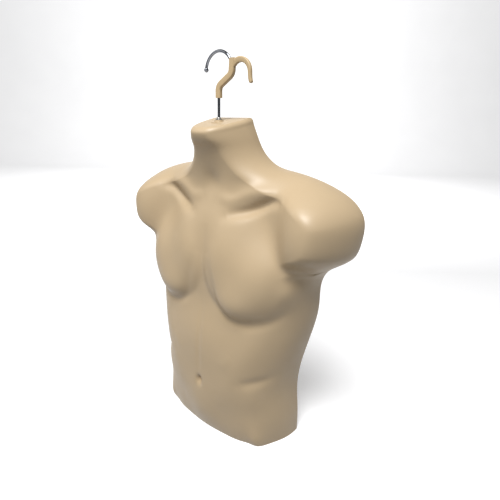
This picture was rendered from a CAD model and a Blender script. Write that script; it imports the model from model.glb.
import math

import bmesh
import bpy
import numpy as np
from mathutils import Matrix, Vector


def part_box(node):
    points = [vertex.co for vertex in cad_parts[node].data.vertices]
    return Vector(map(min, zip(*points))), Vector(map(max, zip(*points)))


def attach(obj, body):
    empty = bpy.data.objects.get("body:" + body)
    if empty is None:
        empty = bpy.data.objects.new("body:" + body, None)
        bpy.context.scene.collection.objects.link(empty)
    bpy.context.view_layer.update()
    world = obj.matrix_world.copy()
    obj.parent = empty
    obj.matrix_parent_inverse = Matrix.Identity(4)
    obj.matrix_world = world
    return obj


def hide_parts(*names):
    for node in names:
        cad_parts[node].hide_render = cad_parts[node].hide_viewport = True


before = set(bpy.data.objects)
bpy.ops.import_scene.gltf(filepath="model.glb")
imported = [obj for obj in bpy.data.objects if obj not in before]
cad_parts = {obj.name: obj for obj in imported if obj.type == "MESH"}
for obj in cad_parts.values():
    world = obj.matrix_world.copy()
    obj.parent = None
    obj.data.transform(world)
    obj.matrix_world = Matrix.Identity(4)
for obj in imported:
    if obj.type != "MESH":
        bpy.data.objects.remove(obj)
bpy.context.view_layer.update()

# Hanging torso display form. The form's shape is worked out in millimetres in
# the frame's axes (x out to the side, z up, chest facing -Y), then scaled.
MM = 0.001
SHELL_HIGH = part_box("torso_shell")[1]
BACK_Y = SHELL_HIGH.y / MM
NECK_TOP = SHELL_HIGH.z / MM
WIRE_LOW, WIRE_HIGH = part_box("hook_wire")
AXIS_Y = (WIRE_LOW.y + WIRE_HIGH.y) / 2 / MM


# ------------------------------------------------------------------- camera
def add_camera():
    """A normal lens a little above the chest, to the form's front left."""
    azimuth, distance, height = math.radians(38.53), 676.9, 577.5
    pan, pitch, roll = math.radians(-1.5), math.radians(18.68), math.radians(1.59)
    place = Vector((distance * math.sin(azimuth),
                    BACK_Y - distance * math.cos(azimuth), height)) * MM
    turn = azimuth + pan
    ahead = Vector((-math.sin(turn) * math.cos(pitch),
                    math.cos(turn) * math.cos(pitch), -math.sin(pitch)))
    right = Vector((math.cos(turn), math.sin(turn), 0))
    up = right.cross(ahead)
    right, up = (right * math.cos(roll) + up * math.sin(roll),
                 up * math.cos(roll) - right * math.sin(roll))
    data = bpy.data.cameras.new("camera")
    data.lens = 26.11
    data.sensor_width = 36.0
    camera = bpy.data.objects.new("camera", data)
    bpy.context.scene.collection.objects.link(camera)
    camera.matrix_world = Matrix((
        (right.x, up.x, -ahead.x, place.x),
        (right.y, up.y, -ahead.y, place.y),
        (right.z, up.z, -ahead.z, place.z),
        (0, 0, 0, 1)))
    bpy.context.scene.camera = camera


# ---------------------------------------------------------------- materials
def new_material(name):
    """Material with a Principled shader, and its nodes and links."""
    material = bpy.data.materials.new(name)
    material.use_nodes = True
    nodes, links = material.node_tree.nodes, material.node_tree.links
    return material, nodes, links, nodes["Principled BSDF"]


def noise(nodes, links, scale, detail, roughness=0.5):
    """Noise over the object's own coordinates, in metres."""
    place = nodes.new("ShaderNodeTexCoord")
    texture = nodes.new("ShaderNodeTexNoise")
    texture.inputs["Scale"].default_value = scale
    texture.inputs["Detail"].default_value = detail
    texture.inputs["Roughness"].default_value = roughness
    links.new(place.outputs["Object"], texture.inputs["Vector"])
    return texture.outputs["Fac"]


def spread(nodes, links, value, low, high):
    """The same value mapped from 0.3..0.7 to low..high."""
    ramp = nodes.new("ShaderNodeMapRange")
    ramp.inputs["From Min"].default_value = 0.3
    ramp.inputs["From Max"].default_value = 0.7
    ramp.inputs["To Min"].default_value = low
    ramp.inputs["To Max"].default_value = high
    links.new(value, ramp.inputs["Value"])
    return ramp.outputs["Result"]


def two_tones(nodes, links, value, dark, light):
    """Colour that drifts from dark to light with value."""
    mix = nodes.new("ShaderNodeMix")
    mix.data_type = "RGBA"
    mix.inputs["A"].default_value = (*dark, 1)
    mix.inputs["B"].default_value = (*light, 1)
    links.new(value, mix.inputs["Factor"])
    return mix.outputs["Result"]


def bump(nodes, links, height, distance, strength=1.0):
    node = nodes.new("ShaderNodeBump")
    node.inputs["Distance"].default_value = distance
    node.inputs["Strength"].default_value = strength
    links.new(height, node.inputs["Height"])
    return node.outputs["Normal"]


def moulded_plastic(name, dark, light, rough, grain):
    """Satin moulded plastic: slight drift of tone and gloss, fine skin."""
    material, nodes, links, shader = new_material(name)
    drift = spread(nodes, links, noise(nodes, links, 9.0, 4.0), 0.0, 1.0)
    links.new(two_tones(nodes, links, drift, dark, light), shader.inputs["Base Color"])
    gloss = spread(nodes, links, noise(nodes, links, 38.0, 5.0, 0.6), *rough)
    links.new(gloss, shader.inputs["Roughness"])
    skin = noise(nodes, links, 900.0, 3.0)
    links.new(bump(nodes, links, skin, grain), shader.inputs["Normal"])
    shader.inputs["Specular IOR Level"].default_value = 0.45
    return material


def plated_metal(name, dark, light, rough, grain):
    """Plated steel with a faint drawn grain and patches of duller plate."""
    material, nodes, links, shader = new_material(name)
    drift = spread(nodes, links, noise(nodes, links, 120.0, 4.0), 0.0, 1.0)
    links.new(two_tones(nodes, links, drift, dark, light), shader.inputs["Base Color"])
    gloss = spread(nodes, links, noise(nodes, links, 260.0, 4.0, 0.6), *rough)
    links.new(gloss, shader.inputs["Roughness"])
    pits = noise(nodes, links, 1500.0, 3.0)
    links.new(bump(nodes, links, pits, grain), shader.inputs["Normal"])
    shader.inputs["Metallic"].default_value = 1.0
    return material


# -------------------------------------------------------- the form's surface
NECK_LEAN, LEAN_FROM = 30.0, 470.0
CAP_TILT = math.radians(12.3)
CAP_EDGE = 8.0              # rounding between the neck and its top
CORNER_RINGS, FLAT_RINGS = 6, 7
TILT_FROM = 535.0           # the neck's sections start to slope here
WALL = 2.5
LIP = 0.45                  # how far the rim's edge bulges between the skins

# Half of the back rim from hip to neck: out from the middle, up, the height
# that the same section reaches on the centre line, and its edge rounding.
RIM = [
    (154, 0, 0, 96),
    (152, 50, 50, 96),
    (147, 110, 108, 96),
    (154, 170, 165, 83),
    (169, 235, 225, 78),
    (177, 290, 270, 68),
    (179, 336, 305, 43),
    (183, 346, 325, 58),
    (206, 368, 363, 53),
    (228, 386, 390, 51),
    (238, 418, 418, 51),
    (236, 453, 448, 51),
    (218, 475, 462, 51),
    (190, 491, 480, 53),
    (155, 503, 494, 53),
    (115, 511, 507, 51),
    (82, 519, 518, 40),
    (60, 541, 541, 37),
    (51, 566, 566, 35),
    (45, 584, 584, 35),
]
CENTRE_DEPTH = [
    (0, 107), (50, 124), (110, 123), (170, 117), (230, 109), (290, 101), (340, 104),
    (390, 102), (430, 95), (465, 84), (500, 78), (530, 77), (560, 80), (592, 85),
]
SIDE_REACH = [
    (0, 160), (110, 155), (230, 175), (330, 195), (410, 210), (460, 194),
    (500, 133), (540, 70), (592, 60),
]
SIDE_DROP = 20.0


# Sections run level into the hip's cut below the first height, and into the
# neck's above the second.
LEVEL_FOOT, LEVEL_NECK = 40.0, 530.0
# A section leaves the rim squarely for this far, or this share of its half
# width, and reaches the centre line level from this share of the half width.
LEAVE, LEAVE_SHARE, ARRIVE_SHARE = 60, 0.45, 0.38
RELIEF_FADE = 40.0          # the relief dies out over this width at the rim


def through(points, where):
    """Natural cubic curve through rows of (position, value, value...)."""
    table = np.array(points, float)
    knots, values = table[:, 0], table[:, 1:]
    steps = np.diff(knots)
    count = len(knots)
    system = np.eye(count)
    target = np.zeros_like(values)
    for i in range(1, count - 1):
        system[i, i - 1:i + 2] = steps[i - 1], 2 * (steps[i - 1] + steps[i]), steps[i]
        rise = (values[i + 1] - values[i]) / steps[i]
        target[i] = 6 * (rise - (values[i] - values[i - 1]) / steps[i - 1])
    bend = np.linalg.solve(system, target)
    where = np.asarray(where, float)
    i = np.clip(np.searchsorted(knots, where, side="right") - 1, 0, count - 2)
    step = steps[i][..., None]
    low = (knots[i + 1] - where)[..., None] / step
    high = 1 - low
    curve = low * values[i] + high * values[i + 1]
    curve += ((low**3 - low) * bend[i] + (high**3 - high) * bend[i + 1]) * step**2 / 6
    return curve[..., 0] if curve.shape[-1] == 1 else curve


def ease(value, start, end):
    """0 before start, 1 after end, smooth between."""
    t = np.clip((value - start) / (end - start), 0, 1)
    return t * t * (3 - 2 * t)


def blend_up(a, b, softness):
    """The higher of two surfaces, with a soft valve where they meet."""
    return np.maximum(a, b) + softness * np.log1p(np.exp(-np.abs(a - b) / softness))


def rounding(inset, radius):
    """Share of the depth reached at a distance in from a rounded edge."""
    t = np.clip(inset / radius, 0, 1)
    return (1 - (1 - t) ** 2.2) ** (1 / 2.1)


CLIFF, CLIFF_FROM = 300, 1.1     # how steeply a plate ends, and from what share


def plate(x, z, out, up, wide, above, below, turn, top, fall, power):
    """Egg-shaped muscle plate: flat in the middle, steep past its edge."""
    c, s = math.cos(math.radians(turn)), math.sin(math.radians(turn))
    across = (c * (x - out) + s * (z - up)) / wide
    along = c * (z - up) - s * (x - out)
    along = along / np.where(along > 0, above, below)
    share = np.hypot(across, along)
    return top - fall * share ** power - CLIFF * np.maximum(share - CLIFF_FROM, 0) ** 2


def bulge(x, z, out, up, wide, tall, turn, height):
    """Soft round swelling, or a hollow where height is negative."""
    c, s = math.cos(math.radians(turn)), math.sin(math.radians(turn))
    across = (c * (x - out) + s * (z - up)) / wide
    along = (c * (z - up) - s * (x - out)) / tall
    return height * np.exp(-(across**2 + along**2))


def ridge(x, z, points, width, height):
    """Ridge or groove along a line of points, fading at both ends."""
    line = np.array(points, float)
    best = np.full(x.shape, 1e9)
    share = np.zeros(x.shape)
    run = np.concatenate([[0], np.hypot(*np.diff(line, axis=0).T).cumsum()])
    for i, (a, b) in enumerate(zip(line[:-1], line[1:])):
        d = b - a
        t = np.clip(((x - a[0]) * d[0] + (z - a[1]) * d[1]) / (d @ d), 0, 1)
        away = np.hypot(x - a[0] - t * d[0], z - a[1] - t * d[1])
        share = np.where(away < best, (run[i] + t * np.hypot(*d)) / run[-1], share)
        best = np.minimum(best, away)
    fade = np.sin(np.pi * np.clip(share, 0.02, 0.98)) ** 0.6
    return height * fade * np.exp(-(best / width) ** 2)


def smooth_line(points, steps=8):
    """Points along a smooth curve through a few chosen ones."""
    line = np.array(points, float)
    run = np.concatenate([[0], np.hypot(*np.diff(line, axis=0).T).cumsum()])
    return through(np.column_stack([run, line]), np.linspace(0, run[-1], steps * len(line)))


TRUNK_SIDE = 181.0          # half width of the rib cage above the armpits
TRUNK_EDGE = 62.0           # rounding of that side
ARMPIT = (338, 376)         # heights over which the arm parts from the ribs
SHOULDER_LINE = (440, 480)  # heights over which they are one again

# Broad forms of the body over its plain section, as soft swellings and hollows:
# middle (out, up), how wide, how tall, turn in degrees, height.
BROAD_FORMS = {
    "breastbone": (0, 350, 34, 80, 0, 6.0),
    "upper belly": (0, 215, 84, 66, 0, 8.0),
    "lower breast": (72, 288, 40, 34, 0, 8.0),
    "groin hollow": (70, 56, 48, 46, 0, -11.0),
    "side of the waist": (150, 215, 34, 46, 0, -4.0),
    "hollow beside the shoulder": (100, 415, 46, 52, 0, -20.0),
    "top of the shoulder": (198, 484, 46, 24, 0, 8.0),
}


def broad_forms(x, z):
    """Sum of the broad forms of both sides of the body."""
    high = np.zeros(np.shape(x + z))
    for out, *form in BROAD_FORMS.values():
        high = high + bulge(x, z, out, *form)
        if out:
            high = high + bulge(-x, z, out, *form)
    # the neck keeps its plain section
    return high * (1 - ease(z, 490, 530))


# Upper arm, a mound: middle (out, up), how wide, how tall, top depth, fall.
ARM = (172, 416, 64, 87, 102, 41)
ARM_FOOT, ARM_EDGE = 340.0, 27.0     # its lower edge, and that edge's rounding
# Breast muscle: middle, how wide, above, below, turn, top depth, fall, power.
BREAST = (70, 347, 86, 101, 102, 6, 118, 38, 3.2)
BREAST_EDGE = 30.0          # rounding of the breast where it nears the rim
# How softly the arm and the breast run into the body. The breast is crisp in
# its lower part and softer above. At the rim the blends all but vanish, so
# that the rim stays in its plane.
ARM_BLEND = 8.0
BREAST_BLEND, UPPER_BREAST_BLEND = 2.0, 5.0
UPPER_BREAST = (370, 440)
BLEND_WIDTH, RIM_BLEND = 30.0, 0.02


def form_depth(x, z, inset):
    """Depth of the form in front of its back rim."""
    level = np.clip(z, CENTRE_DEPTH[0][0], CENTRE_DEPTH[-1][0])
    chest = through(CENTRE_DEPTH, level)
    chest = chest - SIDE_DROP * (x / through(SIDE_REACH, level)) ** 2
    edge = rounding(inset[0], inset[1])
    rib = ease(z, *ARMPIT) * (1 - ease(z, *SHOULDER_LINE))
    rib_edge = rounding(np.maximum(TRUNK_SIDE - x, 0), TRUNK_EDGE)
    trunk = chest * np.minimum(edge, rib_edge * rib + (1 - rib))
    out, up, wide, tall, top, fall = ARM
    arm = top - fall * (((x - out) / wide) ** 2 + ((z - up) / tall) ** 2)
    arm = arm * edge * rounding(np.maximum(z - ARM_FOOT, 0), ARM_EDGE)
    breast = plate(x, z, *BREAST) * rounding(inset[0], BREAST_EDGE)
    inside = RIM_BLEND + (1 - RIM_BLEND) * ease(inset[0], 0, BLEND_WIDTH)
    depth = blend_up(trunk, arm, ARM_BLEND * inside)
    softness = BREAST_BLEND + UPPER_BREAST_BLEND * ease(z, *UPPER_BREAST)
    return blend_up(depth, breast, softness * inside)


# Ridges, and grooves where negative: the line (out, up), width, height.
RIDGES = {
    "collar bone": (smooth_line([
        (16, 470), (42, 464), (60, 470), (88, 480), (120, 488)]), 10, 3.0),
    "under the collar bone": (smooth_line([
        (38, 437), (50, 442), (65, 446), (86, 454), (112, 467), (135, 472)]), 9, -8.0),
    "breastbone": ([(0, 425), (0, 300)], 8, -2.0),
    "fold round the breast": (smooth_line([
        (16, 372), (20, 352), (29, 318), (46, 276), (76, 262),
        (102, 261), (124, 267), (143, 281), (168, 328)]), 9, -3.0),
    "middle of the belly": ([(0, 285), (0, 135)], 6, -1.5),
    "waist": (smooth_line([(88, 138), (105, 144), (130, 153), (145, 168)]), 10, -4.0),
    "edge of the belly muscle": ([(70, 197), (61, 178), (51, 163)], 11, 1.0),
}
# Small swellings and hollows, given as the broad ones are.
SPOTS = {
    "over the collar bone": (80, 498, 28, 12, 8, -2.5),
    "throat": (0, 494, 14, 16, 0, -4),
    "shoulder": (200, 452, 22, 26, 0, 2),
    "armpit": (169, 354, 11, 9, 0, -1.5),
    "flank": (116, 112, 24, 30, 0, 5),
    "hip": (122, 4, 17, 32, 12, 10),
    "navel": (0, 116, 5.5, 9, 0, -8),
}


def relief(x, z):
    """Smaller forms of the body, added to its depth."""
    high = broad_forms(x, z)
    for line, width, height in RIDGES.values():
        high = high + ridge(x, z, line, width, height)
    for spot in SPOTS.values():
        high = high + bulge(x, z, *spot)
    return high


def half_form(rows, columns):
    """Rows of points from the rim on +X to the centre line, hip to neck."""
    rim = np.array(RIM, float)
    run = np.concatenate([[0], np.hypot(*np.diff(rim[:, :2], axis=0).T).cumsum()])
    at = np.linspace(0, run[-1], rows)
    out, up, middle, radius = through(np.column_stack([run, rim]), at).T
    out_rise, up_rise = np.gradient(out, at), np.gradient(up, at)
    length = np.hypot(out_rise, up_rise)
    inward = np.stack([-up_rise / length, out_rise / length], -1)
    inward[:, 1] *= ease(up, 0, LEVEL_FOOT) * (1 - ease(up, LEVEL_NECK, RIM[-1][1]))
    p0 = np.stack([out, up], -1)[:, None]
    p1 = p0 + (inward * np.minimum(LEAVE, LEAVE_SHARE * out)[:, None])[:, None]
    p2 = np.stack([ARRIVE_SHARE * out, middle], -1)[:, None]
    p3 = np.stack([0 * out, middle], -1)[:, None]
    s = (1 - np.cos(np.linspace(0, math.pi / 2, columns)))[None, :, None]
    path = (1 - s)**3 * p0 + 3 * (1 - s)**2 * s * p1 + 3 * (1 - s) * s**2 * p2 + s**3 * p3
    x, z = path[..., 0], path[..., 1]
    inset = np.hypot(np.diff(x, axis=1), np.diff(z, axis=1)).cumsum(axis=1)
    inset = np.hstack([np.zeros((rows, 1)), inset])
    depth = form_depth(x, z, (inset, radius[:, None]))
    depth = depth + relief(x, z) * ease(inset, 0, RELIEF_FADE)
    lean = NECK_LEAN * ease(z, LEAN_FROM, NECK_TOP)
    return x, depth, z, lean


def form_grid(rows=300, columns=200):
    """Grid of points over the whole outside, with the neck's top."""
    x, depth, z, lean = half_form(rows, columns)
    slope = math.tan(CAP_TILT)
    # the neck is cut by a plane that slopes down to the front
    tilt = depth * slope * ease(z, TILT_FROM, RIM[-1][1])
    grid = np.stack([x, -depth, z - tilt], -1)
    last = grid[-1]
    reach = np.hypot(last[:, 0], last[:, 1])[:, None] + 1e-9
    lean = np.concatenate([lean, np.full((CORNER_RINGS + FLAT_RINGS, columns), NECK_LEAN)])
    cap = []
    for step in range(1, CORNER_RINGS + 1):
        turn = step / CORNER_RINGS * math.pi / 2
        ring = last + last * (1, 1, 0) * (-CAP_EDGE * (1 - math.cos(turn)) / reach)
        top = NECK_TOP + ring[:, 1] * slope
        ring[:, 2] += (top - ring[:, 2]) * math.sin(turn)
        cap.append(ring)
    for step in range(1, FLAT_RINGS + 1):
        flat = cap[CORNER_RINGS - 1] * (1, 1 - step / FLAT_RINGS, 1)
        flat[:, 2] = NECK_TOP + flat[:, 1] * slope
        cap.append(flat)
    grid = np.concatenate([grid, np.array(cap)])
    grid[..., 1] += BACK_Y - lean
    return np.hstack([grid, grid[:, -2::-1] * (-1, 1, 1)])


def unit(vectors):
    return vectors / (np.linalg.norm(vectors, axis=-1, keepdims=True) + 1e-12)


def edge_points(grid):
    """The four sides of a grid as one closed loop of points."""
    return np.concatenate([grid[0, :-1], grid[:-1, -1], grid[-1, :0:-1], grid[:0:-1, 0]])


def shell_mesh(name, outer, wall):
    """Closed shell: the grid, its inner face and a rounded rim between."""
    rows, columns = outer.shape[:2]
    normal = unit(np.cross(np.gradient(outer, axis=1), np.gradient(outer, axis=0)))
    normal[:, 0, 1] = normal[:, -1, 1] = 0
    normal[0, :, 2] = 0
    normal = unit(normal)
    if (normal[rows // 2, columns // 2, 1]) > 0:
        normal = -normal
    inner = outer - normal * wall
    inner[:, 0, 1], inner[:, -1, 1] = outer[:, 0, 1], outer[:, -1, 1]
    inner[0, :, 2] = outer[0, :, 2]
    points = np.concatenate([outer.reshape(-1, 3), inner.reshape(-1, 3)])
    index = np.arange(rows * columns).reshape(rows, columns)
    quads = np.stack([index[:-1, :-1], index[:-1, 1:], index[1:, 1:], index[1:, :-1]], -1)
    quads = quads.reshape(-1, 4)
    faces = [quads, quads[:, ::-1] + rows * columns]
    # rim: a few rings that bulge between the two skins
    loop = edge_points(index)
    mid = (outer + inner) / 2
    neighbour = edge_points(np.pad(mid[1:-1, 1:-1], ((1, 1), (1, 1), (0, 0)), "edge"))
    away = unit(edge_points(mid) - neighbour)
    rings = [loop]
    for t in (0.2, 0.5, 0.8):
        lip = LIP * math.sin(math.pi * t)
        ring = edge_points(outer) * (1 - t) + edge_points(inner) * t + away * lip
        rings.append(np.arange(len(loop)) + len(points))
        points = np.concatenate([points, ring])
    rings.append(loop + rows * columns)
    for a, b in zip(rings[:-1], rings[1:]):
        faces.append(np.stack([a, b, np.roll(b, -1), np.roll(a, -1)], -1))
    return solid_mesh(name, points, np.concatenate(faces))


def solid_mesh(name, points, faces):
    """Mesh object from points in millimetres, welded and turned outward."""
    mesh = bpy.data.meshes.new(name)
    mesh.from_pydata((np.asarray(points) * MM).tolist(), [], [list(face) for face in faces])
    work = bmesh.new()
    work.from_mesh(mesh)
    bmesh.ops.remove_doubles(work, verts=work.verts, dist=0.02 * MM)
    bmesh.ops.dissolve_degenerate(work, edges=work.edges, dist=0.01 * MM)
    bmesh.ops.recalc_face_normals(work, faces=work.faces)
    work.to_mesh(mesh)
    work.free()
    mesh.shade_smooth()
    mesh.set_sharp_from_angle(angle=math.radians(35))
    thing = bpy.data.objects.new(name, mesh)
    bpy.context.scene.collection.objects.link(thing)
    return thing


def slotted_profile(wide, thick, corner, bore, slot, count=12):
    """Rounded bar section with a bore that opens to +Y through a slot."""
    half, deep = wide / 2 - corner, thick / 2 - corner
    outer = [(slot / 2, thick / 2)]
    for x, y, start in ((half, deep, 90), (half, -deep, 0), (-half, -deep, -90),
                        (-half, deep, -180)):
        for step in range(count // 2 + 1):
            turn = math.radians(start - step / (count // 2) * 90)
            outer.append((x + corner * math.cos(turn), y + corner * math.sin(turn)))
    outer.append((-slot / 2, thick / 2))
    lip = math.acos(slot / 2 / bore)
    turns = np.linspace(lip, lip - math.pi - 2 * lip, len(outer))
    return np.array(outer), bore * np.column_stack([np.cos(turns), np.sin(turns)])


def along(line):
    """Directions across a line in the XZ plane, to the right of its run."""
    run = np.gradient(np.array(line, float), axis=0)
    run /= np.linalg.norm(run, axis=1, keepdims=True)
    return np.column_stack([run[:, 1], -run[:, 0]])


def placed(line, side, across, out):
    """Section points carried to a place on the line, in the hook's plane."""
    return np.column_stack([line[0] + across[0] * side, AXIS_Y + out,
                            line[1] + across[1] * side])


def slotted_bar(line, profile):
    """Points and faces of a slotted section carried along a line."""
    outer, inner = profile
    loop = np.concatenate([outer, inner[::-1]])
    count, rings = len(loop), []
    for at, across in zip(line, along(line)):
        rings.append(placed(at, loop[:, 0], across, loop[:, 1]))
    faces = []
    for row in range(len(rings) - 1):
        for i in range(count):
            j = (i + 1) % count
            faces.append((row * count + i, row * count + j,
                          (row + 1) * count + j, (row + 1) * count + i))
    for start in (0, (len(rings) - 1) * count):
        for i in range(len(outer) - 1):
            faces.append((start + i, start + i + 1,
                          start + count - 2 - i, start + count - 1 - i))
    return np.concatenate(rings), faces


def rounded_bar(line, widths, thick, corner, sides=24):
    """Points and faces of a rounded section that changes width on its way."""
    turns = np.linspace(0, 2 * math.pi, sides, endpoint=False)
    box = np.sign(np.cos(turns)), np.sign(np.sin(turns))
    rings = []
    for at, across, wide in zip(line, along(line), widths):
        side = box[0] * (wide / 2 - corner) + corner * np.cos(turns)
        out = box[1] * (thick / 2 - corner) + corner * np.sin(turns)
        rings.append(placed(at, side, across, out))
    faces = []
    for row in range(len(rings) - 1):
        for i in range(sides):
            j = (i + 1) % sides
            faces.append((row * sides + i, row * sides + j,
                          (row + 1) * sides + j, (row + 1) * sides + i))
    end = (len(rings) - 1) * sides
    faces.append(tuple(range(sides)))
    faces.append(tuple(range(end, end + sides)))
    return np.concatenate(rings), faces


def arc(x, z, radius, start, stop, steps):
    """Points of an arc in the XZ plane, in degrees from +X."""
    turns = np.radians(np.linspace(start, stop, steps))
    return [(x + radius * math.cos(t), z + radius * math.sin(t)) for t in turns]


# Clip: the sleeve follows the wire over its two bends, and the bow springs
# from the sleeve's head and tapers to a small outward tip.
SLEEVE_WIDE, SLEEVE_THICK, SLEEVE_CORNER = 10.0, 7.6, 1.8
SLEEVE_BORE, SNAP_GAP = 2.45, 4.2
SLEEVE_FOOT = [(0, 620.5), (0, 621.3), (0, 626)]
LOWER_BEND, UPPER_BEND = (11, 631.4), (16, 660.5)
BEND_R, BEND_ANGLE = 11, 58
SLANT = [(13.4, 645.9)]
SLEEVE_HEAD = [(27.3, 665), (27.8, 671), (28, 674.9), (28, 675.9)]
BOW_MIDDLE, BOW_R, BOW_START = (43.2, 654.6), 18.3, 139
BOW_TIP = [(61.8, 651), (62.2, 647), (63.0, 643.5), (64.2, 641.2), (64.7, 640.5)]
BOW_THICK, BOW_CORNER = 6.0, 1.6
BOW_WIDTHS = {0: 9.4, 0.45: 7.6, 0.85: 5.8, 0.97: 5.2, 1: 4.0}


def clip_mesh():
    """Sleeve that snaps over the wire, with the second hook on its head."""
    sleeve = SLEEVE_FOOT + arc(*LOWER_BEND, BEND_R, 180, 180 - BEND_ANGLE, 9) + SLANT
    sleeve += arc(*UPPER_BEND, BEND_R, -BEND_ANGLE, 0, 9) + SLEEVE_HEAD
    profile = slotted_profile(SLEEVE_WIDE, SLEEVE_THICK, SLEEVE_CORNER, SLEEVE_BORE, SNAP_GAP)
    points, faces = slotted_bar(sleeve, profile)
    bow = arc(*BOW_MIDDLE, BOW_R, BOW_START, 0, 26) + BOW_TIP
    shares = np.linspace(0, 1, len(bow))
    widths = np.interp(shares, list(BOW_WIDTHS), list(BOW_WIDTHS.values()))
    more, other = rounded_bar(bow, widths, BOW_THICK, BOW_CORNER)
    faces = [list(face) for face in faces] + [[i + len(points) for i in face] for face in other]
    return solid_mesh("clip", np.concatenate([points, more]), faces)


def turned(name, profile, sides=64):
    """Ring turned from a closed profile of (radius, height) on the hook's axis."""
    turns = np.linspace(0, 2 * math.pi, sides, endpoint=False)
    points = [(r * math.cos(t), AXIS_Y + r * math.sin(t), z) for t in turns for r, z in profile]
    count = len(profile)
    faces = []
    for i in range(sides):
        for j in range(count):
            a, b = i * count, (i + 1) % sides * count
            faces.append((a + j, b + j, b + (j + 1) % count, a + (j + 1) % count))
    return solid_mesh(name, points, faces)


def finish_piece(thing, material, body, slot, *nodes):
    thing.data.materials.append(material)
    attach(thing, body)
    if nodes:
        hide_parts(*nodes)
    return thing


# ------------------------------------------------------------ floor and light
def add_stage():
    """Pale sweep under and behind the form."""
    run, rise, bend = 6.0, 4.0, 1.5
    profile = [(-run, 0.0), (run - bend, 0.0)]
    for step in range(1, 17):
        turn = step / 16 * math.pi / 2
        profile.append((run - bend + bend * math.sin(turn), bend * (1 - math.cos(turn))))
    profile.append((run, rise))
    turn = Matrix.Rotation(math.radians(38.5), 3, "Z")
    mesh = bpy.data.meshes.new("floor")
    points = [turn @ Vector((side * run, y, z)) for y, z in profile for side in (-1, 1)]
    faces = [(2 * i, 2 * i + 1, 2 * i + 3, 2 * i + 2) for i in range(len(profile) - 1)]
    mesh.from_pydata(points, [], faces)
    mesh.shade_smooth()
    floor = bpy.data.objects.new("floor", mesh)
    bpy.context.scene.collection.objects.link(floor)
    material, nodes, links, shader = new_material("floor")
    tone = spread(nodes, links, noise(nodes, links, 3.0, 3.0), 0.0, 1.0)
    links.new(two_tones(nodes, links, tone, (0.83, 0.83, 0.84), (0.86, 0.86, 0.87)),
              shader.inputs["Base Color"])
    shader.inputs["Roughness"].default_value = 0.8
    shader.inputs["Emission Color"].default_value = (1, 1, 1, 1)
    shader.inputs["Emission Strength"].default_value = 0.30
    mesh.materials.append(material)
    floor.visible_diffuse = False


def add_light(name, azimuth, height, distance, size, power, aim=(0, 0, 0.35)):
    """Square soft light around the form; azimuth 0 is straight in front."""
    turn = math.radians(azimuth)
    place = Vector((distance * math.sin(turn), -distance * math.cos(turn), height))
    data = bpy.data.lights.new(name, "AREA")
    data.size, data.energy = size, power
    light = bpy.data.objects.new(name, data)
    light.location = place
    toward = Vector(aim) - place
    light.rotation_euler = toward.to_track_quat("-Z", "Y").to_euler()
    bpy.context.scene.collection.objects.link(light)


def add_lights():
    add_light("key", 22, 2.3, 1.05, 0.9, 66)
    add_light("fill", -50, 1.5, 1.5, 1.0, 5)
    add_light("backdrop", 218.5, 2.4, 1.6, 2.0, 170, (-3.7, 4.7, 1.0))
    world = bpy.data.worlds.new("studio")
    bpy.context.scene.world = world
    world.use_nodes = True
    world.node_tree.nodes["Background"].inputs["Color"].default_value = (1, 1, 1, 1)
    world.node_tree.nodes["Background"].inputs["Strength"].default_value = 0.3
    bpy.context.scene.view_settings.view_transform = "Standard"


# --------------------------------------------------------------------- scene
add_camera()
add_stage()
add_lights()

SHELL = moulded_plastic("shell_plastic", (0.43, 0.325, 0.20), (0.46, 0.348, 0.216),
                        (0.40, 0.48), 0.00002)
CLIP = moulded_plastic("clip_plastic", (0.46, 0.34, 0.19), (0.50, 0.37, 0.21),
                       (0.40, 0.50), 0.00002)
CHROME = plated_metal("hook_chrome", (0.16, 0.17, 0.19), (0.22, 0.23, 0.25),
                      (0.06, 0.16), 0.000005)
PLATE = plated_metal("plated_fittings", (0.42, 0.41, 0.38), (0.55, 0.54, 0.50),
                     (0.25, 0.40), 0.00001)

torso = shell_mesh("torso", form_grid(), WALL)
finish_piece(torso, SHELL, "form", "shell_plastic", "torso_shell")
# pad under the neck's top, and the low boss that stands up round the bush
SEAT_PROFILE = [(4.2, 576), (12.2, 576), (13, 576.8), (13, 583.4), (7.9, 584.5),
                (7.5, 585.2), (7.5, 586.5), (6.9, 587.2), (4.2, 587.2)]
seat = turned("neck_seat", SEAT_PROFILE)
finish_piece(seat, SHELL, "form", "shell_plastic")
finish_piece(clip_mesh(), CLIP, "hook", "clip_plastic", "clip_hook")
for node, material in {"neck_ferrule": PLATE, "ferrule_washer": PLATE, "ferrule_nut": PLATE,
                       "stop_washer": PLATE, "stop_nut": PLATE, "hook_wire": CHROME,
                       "hook_ball": CHROME}.items():
    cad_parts[node].data.materials.clear()
    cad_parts[node].data.materials.append(material)
